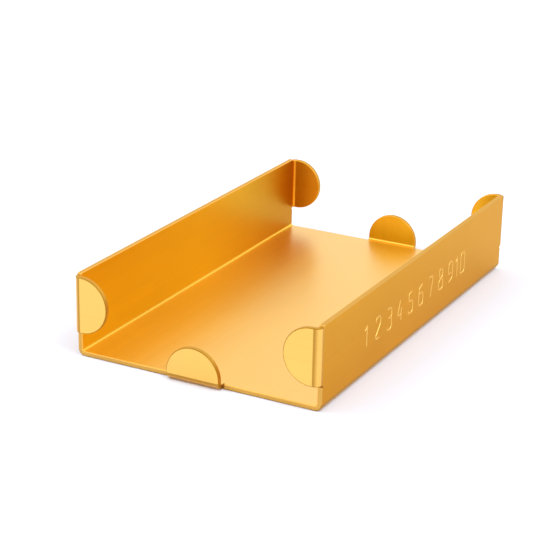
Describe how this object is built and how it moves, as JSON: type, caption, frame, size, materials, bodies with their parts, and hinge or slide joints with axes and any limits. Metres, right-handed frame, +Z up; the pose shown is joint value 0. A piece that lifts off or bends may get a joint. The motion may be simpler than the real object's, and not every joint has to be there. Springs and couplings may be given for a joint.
{
  "type": "coin tray",
  "caption": "Open folded sheet-metal tray for rows of coin rolls: flat base, two low side walls and rounded end tabs that stop the rolls sliding out.",
  "frame": {"origin": "middle of the underside, on the surface that the tray stands on", "axes": "+X to the right-hand wall, +Y to the rear along the tray's length, +Z up out of the base"},
  "size_m": [0.096, 0.165, 0.031],
  "materials": {
    "anodised_sheet": "satin orange-gold anodised, fine rolling grain",
    "anodised_bend": "satin orange-gold anodised, slightly burnished where the sheet is bent"
  },
  "bodies": {
    "root": {"base_panel": "anodised_sheet", "left_wall_bend": "anodised_bend", "left_wall": "anodised_sheet", "right_wall_bend": "anodised_bend", "right_wall": "anodised_sheet", "front_base_tab_bend": "anodised_bend", "front_base_tab": "anodised_sheet", "rear_base_tab_bend": "anodised_bend", "rear_base_tab": "anodised_sheet", "left_front_tab_bend": "anodised_bend", "left_front_tab": "anodised_sheet", "left_rear_tab_bend": "anodised_bend", "left_rear_tab": "anodised_sheet", "right_front_tab_bend": "anodised_bend", "right_front_tab": "anodised_sheet", "right_rear_tab_bend": "anodised_bend", "right_rear_tab": "anodised_sheet"}
  },
  "joints": []
}
